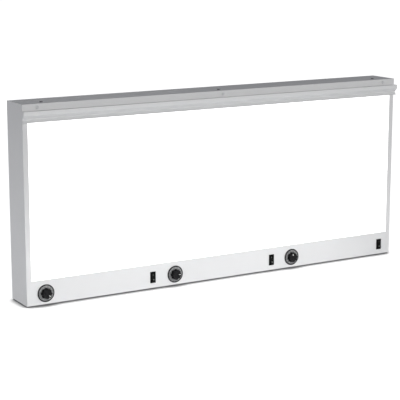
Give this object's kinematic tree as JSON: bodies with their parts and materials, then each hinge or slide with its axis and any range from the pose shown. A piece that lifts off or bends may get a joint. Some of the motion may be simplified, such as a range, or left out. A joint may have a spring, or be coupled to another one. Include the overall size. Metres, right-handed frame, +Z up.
{
  "type": "x-ray film viewer",
  "caption": "Flat steel x-ray film viewer with lit opal screen bays, an aluminium film-grip rail with loose rollers along the top, dimmer knobs and rocker switches below.",
  "frame": {"origin": "centre of the bounding box's footprint, on the standing surface under the feet", "axes": "+X to the right along the width, +Y to the back, the screen faces -Y, +Z up"},
  "size_m": [1.18, 0.1156, 0.5299],
  "materials": {
    "steel_paint": "satin light grey powder coat",
    "rail_metal": "satin anodised",
    "cap_paint": "satin light grey",
    "white_plastic": "matte white",
    "roller_steel": "ground",
    "rail_screw_steel": "zinc plated",
    "dark_steel": "blackened",
    "opal": "opal acrylic, lit from behind",
    "zinc": "zinc plated",
    "reflector_white": "gloss white enamel",
    "lamp_glass": "frosted white tube",
    "aluminium_cap": "drawn",
    "ballast_case": "white",
    "black_gloss": "gloss black",
    "ring_grey": "satin grey with a white scale",
    "black_matte": "matte black",
    "rocker_black": "semi-gloss black",
    "inlet_black": "matte black",
    "pin_steel": "nickel plated",
    "wire_grey": "matte grey sheath",
    "rubber": "matte black"
  },
  "bodies": {
    "viewer": {"rear_housing": "steel_paint", "front_frame": "steel_paint", "film_rail": "rail_metal", "rail_end_cap_left": "cap_paint", "rail_end_cap_right": "cap_paint", "roller_stops": "white_plastic", "rail_screws": "rail_screw_steel", "top_screws": "dark_steel", "bottom_screws": "dark_steel", "diffuser_screen": "opal", "lower_screen_angle": "zinc", "upper_screen_angle": "zinc", "reflector_1": "reflector_white", "reflector_2": "reflector_white", "reflector_3": "reflector_white", "lamp_tubes_1": "lamp_glass", "lamp_tubes_2": "lamp_glass", "lamp_tubes_3": "lamp_glass", "lamp_caps_1": "aluminium_cap", "lamp_caps_2": "aluminium_cap", "lamp_caps_3": "aluminium_cap", "upper_lampholders": "white_plastic", "lower_lampholders": "white_plastic", "upper_lamp_bracket": "zinc", "lower_lamp_bracket": "zinc", "ballast_1": "ballast_case", "ballast_2": "ballast_case", "ballast_3": "ballast_case", "dial_base_1": "black_gloss", "dial_base_2": "black_gloss", "dial_base_3": "black_gloss", "dial_ring_1": "ring_grey", "dial_ring_2": "ring_grey", "dial_ring_3": "ring_grey", "potentiometer_1": "zinc", "potentiometer_2": "zinc", "potentiometer_3": "zinc", "dimmer_nuts": "zinc", "switch_body_1": "black_gloss", "switch_body_2": "black_gloss", "switch_body_3": "black_gloss", "mains_inlet": "inlet_black", "inlet_pins": "pin_steel", "inlet_screws": "dark_steel", "terminal_block": "white_plastic", "wiring": "wire_grey", "rubber_feet": "rubber", "foot_screws": "zinc"},
    "knob_1_body": {"knob_1": "black_matte", "dimmer_shaft_1": "zinc"},
    "rocker_1_body": {"rocker_1": "rocker_black"},
    "roller_1_body": {"grip_roller_1": "roller_steel"},
    "knob_2_body": {"knob_2": "black_matte", "dimmer_shaft_2": "zinc"},
    "rocker_2_body": {"rocker_2": "rocker_black"},
    "roller_2_body": {"grip_roller_2": "roller_steel"},
    "knob_3_body": {"knob_3": "black_matte", "dimmer_shaft_3": "zinc"},
    "rocker_3_body": {"rocker_3": "rocker_black"},
    "roller_3_body": {"grip_roller_3": "roller_steel"}
  },
  "joints": [
    {"name": "knob_1_turn", "type": "hinge", "parent": "viewer", "child": "knob_1_body", "pos_m": [-0.535, -0.04325, 0.033], "axis": [0, 1, 0], "range_deg": [-285, 15]},
    {"name": "knob_2_turn", "type": "hinge", "parent": "viewer", "child": "knob_2_body", "pos_m": [-0.151, -0.04325, 0.033], "axis": [0, 1, 0], "range_deg": [-240, 60]},
    {"name": "knob_3_turn", "type": "hinge", "parent": "viewer", "child": "knob_3_body", "pos_m": [0.233, -0.04325, 0.033], "axis": [0, 1, 0], "range_deg": [-140, 160]},
    {"name": "rocker_1_tilt", "type": "hinge", "parent": "viewer", "child": "rocker_1_body", "pos_m": [-0.22, -0.04275, 0.033], "axis": [1, 0, 0], "range_deg": [0, 24]},
    {"name": "rocker_2_tilt", "type": "hinge", "parent": "viewer", "child": "rocker_2_body", "pos_m": [0.164, -0.04275, 0.033], "axis": [1, 0, 0], "range_deg": [0, 24]},
    {"name": "rocker_3_tilt", "type": "hinge", "parent": "viewer", "child": "rocker_3_body", "pos_m": [0.548, -0.04275, 0.033], "axis": [1, 0, 0], "range_deg": [0, 24]},
    {"name": "roller_1_lift", "type": "slide", "parent": "viewer", "child": "roller_1_body", "axis": [0, -0.7071, 0.7071], "range_m": [0, 0.0045]},
    {"name": "roller_2_lift", "type": "slide", "parent": "viewer", "child": "roller_2_body", "axis": [0, -0.7071, 0.7071], "range_m": [0, 0.0045]},
    {"name": "roller_3_lift", "type": "slide", "parent": "viewer", "child": "roller_3_body", "axis": [0, -0.7071, 0.7071], "range_m": [0, 0.0045]}
  ]
}
